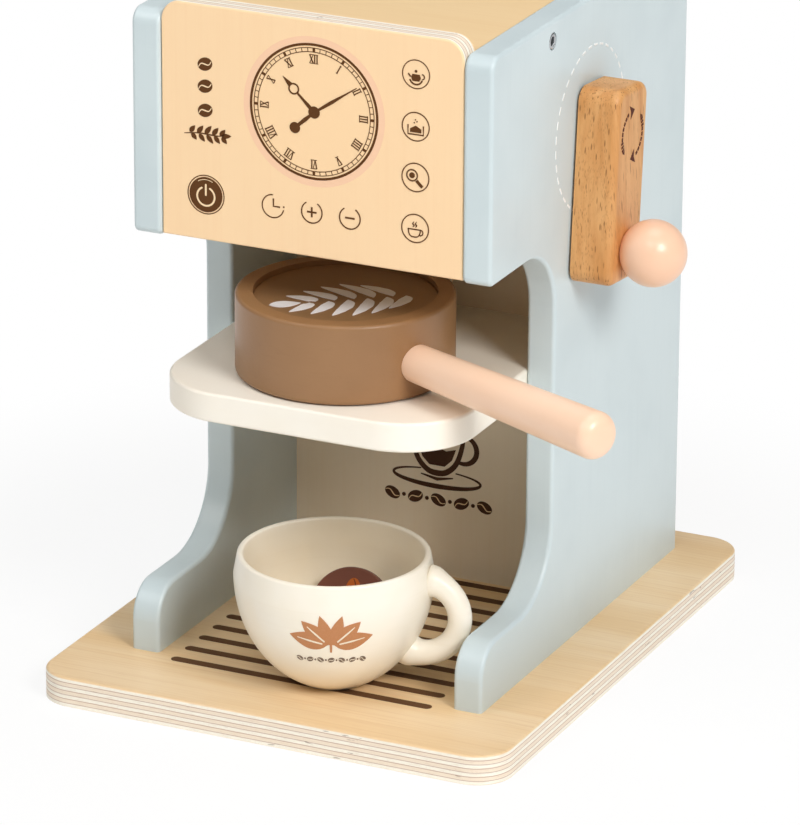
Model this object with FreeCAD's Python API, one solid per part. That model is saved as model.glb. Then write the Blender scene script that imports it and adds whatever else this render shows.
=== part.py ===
import FreeCAD, Part
import os
from math import acos, cos, radians, sin

# Toy coffee maker in wood, at real size in millimetres.
# X is to the right of the machine, Y runs to its back and Z is up.
# The origin is the centre of the underside of the base board.

# Base board
base_width = 200.0
base_depth = 250.0
base_thick = 12.0
base_corner = 15.0
base_edge = 1.2

# Side panels, whose outline is a foot, a column and an overhanging head
inside_width = 128.0
side_thick = 12.0
foot_front = -86.4
foot_height = 26.6
foot_round = 14.0
foot_sweep = 30.0
column_front = -20.5
column_depth = 127.8
head_front = -81.5
head_height = 90.4
head_sweep = 27.0
head_corner = 6.0
head_heel = 3.0
side_edge = 1.6

# Heights of the two bays in front of the column
cup_bay = 106.0
portafilter_bay = 54.6

# Boards between the sides
panel_thick = 10.0
top_thick = 12.0
shelf_thick = 12.0
shelf_corner = 30.0
shelf_edge = 1.2
shelf_lip = 5.0
floor_thick = 6.0
floor_lift = 3.4
front_set_back = 1.0
front_overlap = 5.0
front_corner = 8.0
front_edge = 0.8
top_set_down = 2.0
board_gap = 0.3

# Coin, and the slots that it falls through
coin_diameter = 35.0
coin_thick = 3.5
coin_edge = 0.6
slot_x = -4.6
slot_side_room = 1.5
slot_face_room = 1.5
coin_lean = 24.0
coin_offset = 15.0
resting_gap = 0.25

# Slotted drum on its axle
axle_y = 10.0
axle_lift = 37.3
axle_diameter = 12.0
drum_wall = 6.5
drum_end_wall = 15.5
drum_seat = 12.0
drum_edge = 1.0
drum_clearance = 3.0
collar_width = 8.0
collar_diameter = 22.0
end_play = 0.4
bush_wall = 2.0
bush_flange = 3.0
bush_flange_thick = 1.2
running_fit = 0.06
blind_depth = 9.0

# Boards that guide the coin above and below the drum
chute_board = 3.0
chute_side = 2.0
guide_board = 5.0
guide_gap = 2.0

# Crank lever and its ball
lever_thick = 17.0
lever_width = 29.5
lever_above = 19.0
lever_below = 59.0
lever_corner = 6.0
lever_edge = 3.0
lever_tilt = 5.0
lever_bore = 12.0
felt_thick = 1.0
felt_diameter = 24.0
ball_diameter = 26.6
ball_flat = 1.8
ball_reach = 45.8
ball_screw_diameter = 4.0
ball_screw_in_ball = 12.0
ball_screw_head = 8.0
ball_screw_head_thick = 2.6

# Portafilter, which turns on a screw through the shelf
portafilter_diameter = 86.0
portafilter_height = 32.2
portafilter_edge = 1.5
portafilter_gap = 0.5
portafilter_back_room = 11.5
recess_diameter = 72.0
recess_depth = 2.0
disc_thick = 4.0
disc_gap = 0.15
disc_edge = 0.5
handle_angle = -24.2
handle_height = 14.3
handle_root = 14.5
handle_end = 18.8
handle_reach = 149.0
handle_seat = 16.0
handle_round = 5.5
pivot_diameter = 6.0
pivot_fit = 0.08
pivot_depth = 16.0
pivot_head_diameter = 13.0
pivot_head_thick = 3.0
pivot_socket = 4.0
pivot_socket_depth = 1.8
pivot_washer_diameter = 15.0
pivot_washer_thick = 1.0
counterbore_room = 0.8
insert_diameter = 9.0
insert_length = 13.0

# Cup
cup_x = 8.6
cup_y = -77.6
cup_diameter = 78.6
cup_height = 54.0
cup_waist = 44.0
cup_curve = 46.9
cup_wall = 5.4
cup_floor = 5.0
cup_rim_round = 1.7
cup_gap = 0.3
cup_handle_angle = 12.0
cup_handle_centre = 35.0
cup_handle_height = 29.0
cup_handle_radius = 15.4
cup_handle_thick = 9.5

# Screws, nuts and dowels
cap_diameter = 7.0
cap_depth = 3.2
cap_socket = 3.5
cap_socket_depth = 2.0
cap_shank = 4.0
cap_length = 34.0
cap_inset = 9.5
cap_front_y = -26.5
cap_pitch = 100.0
nut_diameter = 8.0
nut_length = 9.0
base_screw_diameter = 4.0
base_screw_head = 8.0
base_screw_length = 32.0
base_screw_ys = (-60.0, 10.0, 85.0)
dowel_diameter = 6.0
dowel_length = 16.0
shelf_dowel_ys = (-2.0, 26.0)
front_dowel_zs = (22.0, 68.0)

# Places that follow from the sizes above
half_inside = inside_width / 2
side_out = half_inside + side_thick
base_top = base_thick
shelf_bottom = base_top + cup_bay
shelf_top = shelf_bottom + shelf_thick
head_bottom = shelf_top + portafilter_bay
side_top = head_bottom + head_height
foot_top = base_top + foot_height
side_rear = column_front + column_depth
axle_z = head_bottom + axle_lift
axle_radius = axle_diameter / 2
coin_radius = coin_diameter / 2
slot_length = coin_diameter + slot_side_room
slot_width = coin_thick + slot_face_room
drum_radius = coin_radius + drum_wall
drum_left = slot_x - slot_length / 2 - drum_end_wall
drum_right = slot_x + slot_length / 2 + drum_end_wall
back_front = axle_y + drum_radius + drum_clearance
back_rear = back_front + panel_thick
rear_front = side_rear - panel_thick
front_face = head_front + front_set_back
front_back = front_face + panel_thick
top_top = side_top - top_set_down
top_bottom = top_top - top_thick
floor_bottom = head_bottom + floor_lift
floor_top = floor_bottom + floor_thick
chute_front_face = axle_y - slot_width / 2 - chute_board
portafilter_radius = portafilter_diameter / 2
portafilter_y = chute_front_face - portafilter_back_room - portafilter_radius
portafilter_bottom = shelf_top + portafilter_gap
portafilter_top = portafilter_bottom + portafilter_height
shelf_front = portafilter_y - portafilter_radius - shelf_lip
lever_inner = side_out + felt_thick
lever_outer = lever_inner + lever_thick
axle_right_end = lever_inner + lever_bore
axle_left_end = -(half_inside + blind_depth - end_play)
bush_radius = axle_radius + bush_wall
cup_radius = cup_diameter / 2
cup_bottom = base_top + cup_gap


def vec(x, y, z):
    return FreeCAD.Vector(x, y, z)


def block(x0, x1, y0, y1, z0, z1):
    return Part.makeBox(x1 - x0, y1 - y0, z1 - z0, vec(x0, y0, z0))


def rod_x(radius, x0, x1, y, z):
    return Part.makeCylinder(radius, x1 - x0, vec(x0, y, z), vec(1, 0, 0))


def rod_z(radius, z0, z1, x, y):
    return Part.makeCylinder(radius, z1 - z0, vec(x, y, z0))


def coin_slot(z0, z1, room=0.0):
    half_length = slot_length / 2 + room
    half_width = slot_width / 2 + room
    left, right = slot_x - half_length, slot_x + half_length
    return block(left, right, axle_y - half_width, axle_y + half_width, z0, z1)


def save(name, *solids):
    shape = solids[0] if len(solids) == 1 else Part.makeCompound(list(solids))
    shape.exportStep("parts/" + name + ".step")
    volume = sum(solid.Volume for solid in solids)
    print(name, "solids", len(shape.Solids), "valid", shape.isValid(), "volume", round(volume))


def edges_along_x(shape, y, z):
    """The edges parallel to X that pass through one point of the side outline."""
    found = []
    for edge in shape.Edges:
        start = edge.Vertexes[0].Point
        end = edge.Vertexes[-1].Point
        along = abs(start.y - end.y) < 1e-6 and abs(start.z - end.z) < 1e-6
        if along and abs(start.y - y) < 1e-6 and abs(start.z - z) < 1e-6:
            found.append(edge)
    return found


def edges_on_plane(shape, axis, value, keep=lambda edge: True):
    """The edges that lie wholly in one plane square to an axis."""
    found = []
    for edge in shape.Edges:
        low = getattr(edge.BoundBox, axis + "Min")
        high = getattr(edge.BoundBox, axis + "Max")
        if abs(low - value) < 1e-3 and abs(high - value) < 1e-3 and keep(edge):
            found.append(edge)
    return found


def edges_along_z(shape, keep=lambda edge: True):
    found = []
    for edge in shape.Edges:
        box = edge.BoundBox
        if box.XLength < 1e-6 and box.YLength < 1e-6 and keep(edge):
            found.append(edge)
    return found


def base_board():
    board = block(-base_width / 2, base_width / 2, -base_depth / 2, base_depth / 2, 0, base_thick)
    board = board.makeFillet(base_corner, edges_along_z(board))
    board = board.makeFillet(base_edge, edges_on_plane(board, "Z", base_thick))
    for x, y in base_screw_places():
        board = board.cut(rod_z(base_screw_diameter / 2, 0, base_thick, x, y))
        board = board.cut(screw_head_cone(x, y))
    return board


def base_screw_places():
    x = half_inside + side_thick / 2
    return [(side * x, y) for side in (-1, 1) for y in base_screw_ys]


def screw_head_cone(x, y):
    depth = (base_screw_head - base_screw_diameter) / 2
    return Part.makeCone(base_screw_head / 2, base_screw_diameter / 2, depth, vec(x, y, 0))


def base_screws():
    screws = []
    for x, y in base_screw_places():
        shank = rod_z(base_screw_diameter / 2, 0, base_screw_length, x, y)
        screws.append(shank.fuse(screw_head_cone(x, y)).removeSplitter())
    return screws


def cap_places():
    z = top_bottom + top_thick / 2
    return [(cap_front_y + step * cap_pitch, z) for step in (0, 1)]


def side_panel(side):
    corners = [
        (foot_front, base_top),
        (foot_front, foot_top),
        (column_front, foot_top),
        (column_front, head_bottom),
        (head_front, head_bottom),
        (head_front, side_top),
        (side_rear, side_top),
        (side_rear, base_top),
    ]
    rounds = [0, foot_round, foot_sweep, head_sweep, head_heel, head_corner, head_corner, 0]
    x0 = half_inside if side > 0 else -side_out
    points = [vec(x0, y, z) for y, z in corners]
    outline = Part.Face(Part.makePolygon(points + points[:1]))
    panel = outline.extrude(vec(side_thick, 0, 0))
    for (y, z), radius in zip(corners, rounds):
        if radius:
            panel = panel.makeFillet(radius, edges_along_x(panel, y, z))

    def above_base(edge):
        return edge.BoundBox.ZMax > base_top + 1e-3

    faces = [x0, x0 + side_thick]
    eased = [edge for x in faces for edge in edges_on_plane(panel, "X", x, above_base)]
    panel = panel.makeFillet(side_edge, eased)
    for x, y in base_screw_places():
        if x * side > 0:
            panel = panel.cut(rod_z(base_screw_diameter / 2, base_top, base_screw_length, x, y))
    for y, z in cap_places():
        panel = panel.cut(rod_x(cap_shank / 2, x0, x0 + side_thick, y, z))
        panel = panel.cut(cap_head(side, y, z))
    for place in dowel_places(side):
        panel = panel.cut(dowel_rod(*place))
    if side > 0:
        panel = panel.cut(rod_x(bush_radius, x0, x0 + side_thick, axle_y, axle_z))
    else:
        panel = panel.cut(rod_x(bush_radius, -half_inside - blind_depth, -half_inside, axle_y, axle_z))
    return panel


def cap_head(side, y, z):
    x0 = side_out - cap_depth if side > 0 else -side_out
    return rod_x(cap_diameter / 2, x0, x0 + cap_depth, y, z)


def cap_screw(side, y, z):
    far = side * side_out
    near = side * (side_out - cap_length)
    shank = rod_x(cap_shank / 2, min(far, near), max(far, near), y, z)
    screw = cap_head(side, y, z).fuse(shank)
    socket_start = side_out - cap_socket_depth if side > 0 else -side_out
    corners = []
    for step in range(6):
        turn = radians(60 * step)
        across = cap_socket / 2 / cos(radians(30))
        corners.append(vec(socket_start, y + across * cos(turn), z + across * sin(turn)))
    socket = Part.Face(Part.makePolygon(corners + corners[:1])).extrude(vec(cap_socket_depth, 0, 0))
    return screw.cut(socket).removeSplitter()


def barrel_nut(side, y, z):
    centre = side * (side_out - cap_length + cap_inset / 2)
    nut = rod_z(nut_diameter / 2, z - nut_length / 2, z + nut_length / 2, centre, y)
    return nut.cut(cap_hole(side, y, z))


def cap_hole(side, y, z):
    far = side * side_out
    near = side * (side_out - cap_length)
    return rod_x(cap_shank / 2, min(far, near), max(far, near), y, z)


def front_panel():
    half = half_inside - board_gap
    top = side_top + front_overlap
    panel = block(-half, half, front_face, front_back, head_bottom + front_set_back, top)
    upper = []
    for edge in panel.Edges:
        box = edge.BoundBox
        if box.YLength > 1 and box.ZMin > top - 1e-3:
            upper.append(edge)
    panel = panel.makeFillet(front_corner, upper)
    panel = panel.makeFillet(front_edge, edges_on_plane(panel, "Y", front_face))
    for side in (-1, 1):
        for place in front_dowel_places(side):
            panel = panel.cut(dowel_rod(*place))
    return panel


def top_panel():
    panel = block(-half_inside, half_inside, front_back, rear_front, top_bottom, top_top)
    panel = panel.cut(coin_slot(top_bottom, top_top))
    for side in (-1, 1):
        for y, z in cap_places():
            panel = panel.cut(cap_hole(side, y, z))
            panel = panel.cut(barrel_nut_hole(side, y, z))
    return panel


def barrel_nut_hole(side, y, z):
    centre = side * (side_out - cap_length + cap_inset / 2)
    return rod_z(nut_diameter / 2, top_bottom, z + nut_length / 2, centre, y)


def rear_panel():
    return block(-half_inside, half_inside, rear_front, side_rear, base_top, top_top)


def back_panel():
    return block(-half_inside, half_inside, back_front, back_rear, base_top, top_bottom)


def shelf():
    half = half_inside
    board = block(-half, half, shelf_front, back_front, shelf_bottom, shelf_top)

    def at_front(edge):
        return edge.BoundBox.YMax < shelf_front + 1

    def eased(edge):
        return edge.BoundBox.YMin < column_front

    board = board.makeFillet(shelf_corner, edges_along_z(board, at_front))

    for z in (shelf_bottom, shelf_top):
        board = board.makeFillet(shelf_edge, edges_on_plane(board, "Z", z, eased))
    board = board.cut(coin_slot(shelf_bottom, shelf_top))
    board = board.cut(rod_z(pivot_diameter / 2 + pivot_fit, shelf_bottom, shelf_top, 0, portafilter_y))
    board = board.cut(counterbore())
    for side in (-1, 1):
        for place in shelf_dowel_places(side):
            board = board.cut(dowel_rod(*place))
    return board


def counterbore():
    radius = pivot_washer_diameter / 2 + counterbore_room
    return rod_z(radius, shelf_bottom, pivot_seat(), 0, portafilter_y)


def pivot_seat():
    """Height of the face inside the shelf that the screw's washer runs under."""
    return shelf_bottom + pivot_head_thick + pivot_washer_thick + counterbore_room


def shelf_dowel_places(side):
    z = (shelf_bottom + shelf_top) / 2
    return [(side, y, z) for y in shelf_dowel_ys]


def front_dowel_places(side):
    y = (front_face + front_back) / 2
    return [(side, y, head_bottom + z) for z in front_dowel_zs]


def dowel_places(side):
    return shelf_dowel_places(side) + front_dowel_places(side)


def dowel_rod(side, y, z):
    centre = side * half_inside
    return rod_x(dowel_diameter / 2, centre - dowel_length / 2, centre + dowel_length / 2, y, z)


def housing_floor():
    board = block(-half_inside, half_inside, front_back, back_front, floor_bottom, floor_top)
    return board.cut(coin_slot(floor_bottom, floor_top, guide_gap))


def chute_boards():
    """The two wide boards and two narrow strips of the channel behind the portafilter."""
    outer = slot_length / 2 + chute_side
    left, right = slot_x - outer, slot_x + outer
    front_rear = axle_y - slot_width / 2
    back_fore = axle_y + slot_width / 2
    front = block(left, right, chute_front_face, front_rear, shelf_top, floor_bottom)
    back = block(left, right, back_fore, back_fore + chute_board, shelf_top, floor_bottom)
    strips = []
    for x0 in (left, right - chute_side):
        strips.append(block(x0, x0 + chute_side, front_rear, back_fore, shelf_top, floor_bottom))
    return front, back, strips


def slot_guides():
    """Two strips under the top panel that keep the coin upright above the drum."""
    left, right = slot_x - slot_length / 2, slot_x + slot_length / 2
    low = axle_z + drum_radius + guide_gap
    strips = []
    for side in (-1, 1):
        y = axle_y + side * slot_width / 2
        y0 = y if side > 0 else y - guide_board
        strips.append(block(left, right, y0, y0 + guide_board, low, top_bottom))
    return strips


def slotted_drum():
    drum = rod_x(drum_radius, drum_left, drum_right, axle_y, axle_z)
    ends = edges_on_plane(drum, "X", drum_left) + edges_on_plane(drum, "X", drum_right)
    drum = drum.makeFillet(drum_edge, ends)
    drum = drum.cut(coin_slot(axle_z - coin_radius, axle_z + drum_radius))
    for axle in (right_axle(), left_axle()):
        drum = drum.cut(axle)
    return drum


def right_axle():
    return rod_x(axle_radius, drum_right - drum_seat, axle_right_end, axle_y, axle_z)


def left_axle():
    return rod_x(axle_radius, axle_left_end, drum_left + drum_seat, axle_y, axle_z)


def axle_collars():
    """Rings on the axle beside the panels, which stop the drum from sliding sideways."""
    rings = []
    for side in (-1, 1):
        near = half_inside - bush_flange_thick - end_play - collar_width
        x0 = near if side > 0 else -near - collar_width
        ring = rod_x(collar_diameter / 2, x0, x0 + collar_width, axle_y, axle_z)
        rings.append(ring.cut(rod_x(axle_radius, x0, x0 + collar_width, axle_y, axle_z)))
    return rings


def axle_bush(side):
    flange_radius = bush_radius + bush_flange
    bore = axle_radius + running_fit
    if side > 0:
        start, end = half_inside - bush_flange_thick, side_out
        flange_start = start
    else:
        start, end = -half_inside - blind_depth, -half_inside + bush_flange_thick
        flange_start = -half_inside
    sleeve = rod_x(bush_radius, start, end, axle_y, axle_z)
    flange = rod_x(flange_radius, flange_start, flange_start + bush_flange_thick, axle_y, axle_z)
    bush = sleeve.fuse(flange).cut(rod_x(bore, start, end, axle_y, axle_z))
    return bush.removeSplitter()


def tilted(shape):
    """Turns a piece that was drawn with the lever hanging straight down."""
    shape.rotate(vec(0, axle_y, axle_z), vec(1, 0, 0), -lever_tilt)
    return shape


def lever_blank():
    blank = block(
        lever_inner, lever_outer,
        axle_y - lever_width / 2, axle_y + lever_width / 2,
        axle_z - lever_below, axle_z + lever_above,
    )
    corners = []
    for edge in blank.Edges:
        if edge.BoundBox.XLength > 1:
            corners.append(edge)
    blank = blank.makeFillet(lever_corner, corners)
    faces = edges_on_plane(blank, "X", lever_outer)
    return blank.makeFillet(lever_edge, faces)


def ball_centre():
    return lever_outer + ball_diameter / 2 - ball_flat, axle_y, axle_z - ball_reach


def ball_screw():
    x, y, z = ball_centre()
    head = rod_x(ball_screw_head / 2, lever_inner, lever_inner + ball_screw_head_thick, y, z)
    shank = rod_x(ball_screw_diameter / 2, lever_inner, lever_outer + ball_screw_in_ball, y, z)
    return head.fuse(shank).removeSplitter()


def crank_lever():
    lever = lever_blank()
    lever = lever.cut(rod_x(axle_radius, lever_inner, axle_right_end, axle_y, axle_z))
    return tilted(lever.cut(ball_screw()))


def knob_ball():
    x, y, z = ball_centre()
    ball = Part.makeSphere(ball_diameter / 2, vec(x, y, z))
    reach = ball_diameter
    ball = ball.common(block(lever_outer, lever_outer + reach, y - reach, y + reach, z - reach, z + reach))
    return tilted(ball.cut(ball_screw()))


def felt_washer():
    washer = rod_x(felt_diameter / 2, side_out, lever_inner, axle_y, axle_z)
    return washer.cut(rod_x(axle_radius, side_out, lever_inner, axle_y, axle_z))


def portafilter_blank():
    low, high = portafilter_bottom, portafilter_top
    body = rod_z(portafilter_radius, low, high, 0, portafilter_y)
    rims = edges_on_plane(body, "Z", low) + edges_on_plane(body, "Z", high)
    body = body.makeFillet(portafilter_edge, rims)
    pocket_bottom = high - recess_depth - disc_thick
    return body.cut(rod_z(recess_diameter / 2, pocket_bottom, high, 0, portafilter_y))


def portafilter_handle():
    """A turned handle that swells towards its free end, set in the side of the body."""
    start = portafilter_radius - handle_seat
    root = handle_root / 2
    end = handle_end / 2
    cone = Part.makeCone(root, end, handle_reach - start, vec(start, 0, 0), vec(1, 0, 0))
    tip = edges_on_plane(cone, "X", handle_reach)
    cone = cone.makeFillet(handle_round, tip)
    cone.rotate(vec(0, 0, 0), vec(0, 0, 1), handle_angle)
    cone.translate(vec(0, portafilter_y, shelf_top + handle_height))
    return cone


def pivot_insert():
    low = portafilter_bottom
    sleeve = rod_z(insert_diameter / 2, low, low + insert_length, 0, portafilter_y)
    return sleeve.cut(rod_z(pivot_diameter / 2, low, low + insert_length, 0, portafilter_y))


def pivot_screw():
    head_top = pivot_seat() - pivot_washer_thick - resting_gap
    head_bottom_z = head_top - pivot_head_thick
    head = rod_z(pivot_head_diameter / 2, head_bottom_z, head_top, 0, portafilter_y)
    shank = rod_z(pivot_diameter / 2, head_bottom_z, portafilter_bottom + pivot_depth, 0, portafilter_y)
    screw = head.fuse(shank).removeSplitter()
    corners = []
    for step in range(6):
        turn = radians(60 * step)
        across = pivot_socket / 2 / cos(radians(30))
        corners.append(vec(across * cos(turn), portafilter_y + across * sin(turn), head_bottom_z))
    socket = Part.Face(Part.makePolygon(corners + corners[:1]))
    return screw.cut(socket.extrude(vec(0, 0, pivot_socket_depth)))


def pivot_washer():
    top = pivot_seat() - resting_gap
    low = top - pivot_washer_thick
    ring = rod_z(pivot_washer_diameter / 2, low, top, 0, portafilter_y)
    return ring.cut(rod_z(pivot_diameter / 2, low, top, 0, portafilter_y))


def portafilter_body():
    body = portafilter_blank()
    body = body.cut(portafilter_handle())
    low = portafilter_bottom
    body = body.cut(rod_z(insert_diameter / 2, low, low + insert_length, 0, portafilter_y))
    return body.cut(rod_z(pivot_diameter / 2, low, low + pivot_depth, 0, portafilter_y))


def latte_disc():
    top = portafilter_top - recess_depth
    disc = rod_z(recess_diameter / 2 - disc_gap, top - disc_thick, top, 0, portafilter_y)
    return disc.makeFillet(disc_edge, edges_on_plane(disc, "Z", top))


def cup_side(radius, curve, low):
    """The half outline of a bowl from its floor to the top of the rim."""
    waist = vec(0, 0, cup_waist)
    ellipse = Part.Ellipse(vec(0, 0, cup_waist - curve), vec(radius, 0, cup_waist), waist)
    start = acos((cup_waist - low) / curve)
    quarter = radians(90)
    curve_edge = ellipse.toShape(start, quarter)
    foot = curve_edge.valueAt(curve_edge.FirstParameter)
    rim = vec(radius, 0, cup_height)
    edges = [
        Part.makeLine(vec(0, 0, low), foot),
        curve_edge,
        Part.makeLine(vec(radius, 0, cup_waist), rim),
        Part.makeLine(rim, vec(0, 0, cup_height)),
        Part.makeLine(vec(0, 0, cup_height), vec(0, 0, low)),
    ]
    face = Part.Face(Part.Wire(edges))
    return face.revolve(vec(0, 0, 0), vec(0, 0, 1), 360)


def cup_place(shape):
    shape.translate(vec(cup_x, cup_y, cup_bottom))
    return shape


def cup_bowl():
    outer = cup_side(cup_radius, cup_curve, 0)
    inner = cup_side(cup_radius - cup_wall, cup_curve - cup_wall, cup_floor)
    bowl = outer.cut(inner)
    bowl = bowl.makeFillet(cup_rim_round, edges_on_plane(bowl, "Z", cup_height))
    return cup_place(bowl)


def cup_handle():
    ring = Part.makeTorus(cup_handle_radius, cup_handle_thick / 2, vec(0, 0, 0), vec(0, 1, 0))
    ring.translate(vec(cup_handle_centre, 0, cup_handle_height))
    ring.rotate(vec(0, 0, 0), vec(0, 0, 1), cup_handle_angle)
    ring = ring.cut(cup_side(cup_radius, cup_curve, 0))
    return cup_place(max(ring.Solids, key=lambda solid: solid.Volume))


def settled(piece, onto):
    """Lowers a piece until it rests against another, with the resting gap between them."""
    high = 0.0
    low = -cup_height
    for step in range(14):
        middle = (high + low) / 2
        trial = piece.copy()
        trial.translate(vec(0, 0, middle))
        if trial.distToShape(onto)[0] < resting_gap:
            low = middle
        else:
            high = middle
    piece.translate(vec(0, 0, high))
    return piece


def coin(bowl):
    disc = Part.makeCylinder(coin_radius, coin_thick, vec(0, -coin_thick / 2, 0), vec(0, 1, 0))
    rims = edges_on_plane(disc, "Y", -coin_thick / 2) + edges_on_plane(disc, "Y", coin_thick / 2)
    disc = disc.makeFillet(coin_edge, rims)
    disc.rotate(vec(0, 0, 0), vec(1, 0, 0), -coin_lean)
    disc.translate(vec(cup_x, cup_y + coin_offset, cup_bottom + cup_height + coin_radius))
    return settled(disc, bowl)


def check_sizes():
    """Prints the sizes that a maker would check before cutting wood."""
    print("machine height", side_top + front_overlap, "shelf top", shelf_top, "head underside", head_bottom)
    print("drum radius", drum_radius, "from", drum_left, "to", drum_right, "back panel front", back_front)
    print("portafilter centre", portafilter_y, "top", portafilter_top, "shelf front", shelf_front)
    reach = handle_reach * cos(radians(handle_angle))
    print("handle reaches", round(reach, 1), "to the right of the middle")


os.makedirs("parts", exist_ok=True)
check_sizes()

save("base_board", base_board())
save("left_side_panel", side_panel(-1))
save("right_side_panel", side_panel(1))
save("front_panel", front_panel())
save("top_panel", top_panel())
save("rear_panel", rear_panel())
save("back_panel", back_panel())
save("shelf", shelf())
save("housing_floor", housing_floor())
chute_front, chute_back, chute_strips = chute_boards()
save("chute_front_board", chute_front)
save("chute_back_board", chute_back)
save("chute_side_strips", *chute_strips)
save("slot_guides", *slot_guides())
save("left_axle_bush", axle_bush(-1))
save("right_axle_bush", axle_bush(1))
save("side_cap_screws", *[cap_screw(side, y, z) for side in (-1, 1) for y, z in cap_places()])
save("barrel_nuts", *[barrel_nut(side, y, z) for side in (-1, 1) for y, z in cap_places()])
save("base_screws", *base_screws())
save("shelf_dowels", *[dowel_rod(*place) for side in (-1, 1) for place in shelf_dowel_places(side)])
save("front_panel_dowels", *[dowel_rod(*place) for side in (-1, 1) for place in front_dowel_places(side)])
save("slotted_drum", slotted_drum())
save("crank_axle", right_axle())
save("left_axle_stub", left_axle())
save("axle_collars", *axle_collars())
save("felt_washer", felt_washer())
save("crank_lever", crank_lever())
save("knob_ball", knob_ball())
save("knob_screw", tilted(ball_screw()))
save("portafilter_body", portafilter_body())
save("latte_disc", latte_disc())
save("portafilter_handle", portafilter_handle())
save("pivot_insert", pivot_insert())
save("pivot_screw", pivot_screw())
save("pivot_washer", pivot_washer())
cup = cup_bowl()
save("cup_bowl", cup)
save("cup_handle", cup_handle())
save("coin", coin(cup))
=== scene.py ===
from math import atan2, cos, degrees, exp, hypot, pi, radians, sin, sqrt

import bmesh
import bpy
from mathutils import Matrix, Vector


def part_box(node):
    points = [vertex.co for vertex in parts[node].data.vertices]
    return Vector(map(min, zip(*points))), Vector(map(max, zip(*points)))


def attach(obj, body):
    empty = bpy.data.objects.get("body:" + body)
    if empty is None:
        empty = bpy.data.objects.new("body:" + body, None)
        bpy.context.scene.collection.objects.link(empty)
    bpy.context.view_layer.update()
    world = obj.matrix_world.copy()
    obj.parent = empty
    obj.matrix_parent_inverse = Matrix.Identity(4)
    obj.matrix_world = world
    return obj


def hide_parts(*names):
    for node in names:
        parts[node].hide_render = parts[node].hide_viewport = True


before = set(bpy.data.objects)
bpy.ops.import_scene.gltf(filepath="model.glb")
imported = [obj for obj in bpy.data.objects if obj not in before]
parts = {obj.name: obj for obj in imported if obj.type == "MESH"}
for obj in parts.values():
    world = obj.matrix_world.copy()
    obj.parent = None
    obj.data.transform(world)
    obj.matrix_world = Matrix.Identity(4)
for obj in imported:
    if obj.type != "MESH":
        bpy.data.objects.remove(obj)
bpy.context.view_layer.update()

# A toy coffee maker in painted wood: the finish of every board, the printed face and icons,
# and the turned cup. Lengths are written in millimetres and made metres by MM.
MM = 0.001


def middle(node):
    """The middle of a node's box, in millimetres."""
    low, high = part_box(node)
    return (low + high) / 2 / MM


# Places that the frame gives
front_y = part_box("front_panel")[0].y / MM
back_wall_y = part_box("back_panel")[0].y / MM
base_top_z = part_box("base_board")[1].z / MM
side_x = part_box("right_side_panel")[1].x / MM
disc_top_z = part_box("latte_disc")[1].z / MM
lever_face_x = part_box("crank_lever")[1].x / MM
cup_foot_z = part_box("cup_bowl")[0].z / MM
axle_y, axle_z = middle("crank_axle").yz
cup_x, cup_y = middle("cup_bowl").xy
portafilter_y = middle("portafilter_body").y
coin_middle = middle("coin")
cap_screw_z = middle("side_cap_screws").z

lever_tilt, coin_lean = radians(-5.0), radians(24.0)
coin_half_thick = 1.75
cap_screw_ys = (-26.5, 73.5)

# The cup, as it is turned
cup_radius, cup_height, cup_waist, cup_curve = 39.3, 54.0, 44.0, 46.9
cup_wall, cup_floor, cup_rim_round, cup_foot_round = 5.4, 5.0, 2.4, 0.64
cup_turn, cup_print_turn = radians(12.0), radians(-66.0)
ear_centre, ear_height, ear_radius, ear_thick = 35.0, 29.0, 15.4, 9.5

# Ink reaches a little into the wood. Each further shape of one print lies a little higher than the last.
INK_SINK = 0.06
INK_HEIGHT = 0.10
INK_STEP = 0.003
INK_STEPS_MOST = 0.06
FINEST_END = 0.03
OVER_INK = 0.19


# Node trees


class Value:
    """A socket of a node tree. A sum on it adds a Math node to the tree."""

    def __init__(self, tree, socket):
        self.tree = tree
        self.socket = socket

    def out(self, name):
        return Value(self.tree, self.socket.node.outputs[name])

    def maths(self, operation, *others):
        return self.tree.node("ShaderNodeMath", {"operation": operation}, [self, *others])

    def maths_from(self, operation, other):
        return self.tree.node("ShaderNodeMath", {"operation": operation}, [other, self])

    def __add__(self, other):
        return self.maths("ADD", other)

    def __radd__(self, other):
        return self.maths("ADD", other)

    def __sub__(self, other):
        return self.maths("SUBTRACT", other)

    def __rsub__(self, other):
        return self.maths_from("SUBTRACT", other)

    def __mul__(self, other):
        return self.maths("MULTIPLY", other)

    def __rmul__(self, other):
        return self.maths("MULTIPLY", other)

    def __truediv__(self, other):
        return self.maths("DIVIDE", other)

    def __rtruediv__(self, other):
        return self.maths_from("DIVIDE", other)

    def between(self, low, high, to_low=0.0, to_high=1.0):
        """Eases from to_low to to_high while the value goes from low to high."""
        settings = {"interpolation_type": "SMOOTHSTEP", "clamp": True}
        return self.tree.node("ShaderNodeMapRange", settings, [self, low, high, to_low, to_high])


class Tree:
    """A node tree that is filled by one method."""

    def __init__(self, node_tree):
        self.nodes = node_tree.nodes
        self.links = node_tree.links

    def node(self, kind, settings=None, inputs=(), output=0):
        made = self.nodes.new(kind)
        for name, setting in (settings or {}).items():
            setattr(made, name, setting)
        pairs = inputs.items() if isinstance(inputs, dict) else enumerate(inputs)
        for key, value in pairs:
            self.feed(made.inputs[key], value)
        return Value(self, made.outputs[output])

    def feed(self, socket, value):
        if isinstance(value, list):
            for single in value:
                self.links.new(single.socket, socket)
        elif isinstance(value, Value):
            self.links.new(value.socket, socket)
        else:
            socket.default_value = value


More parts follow.
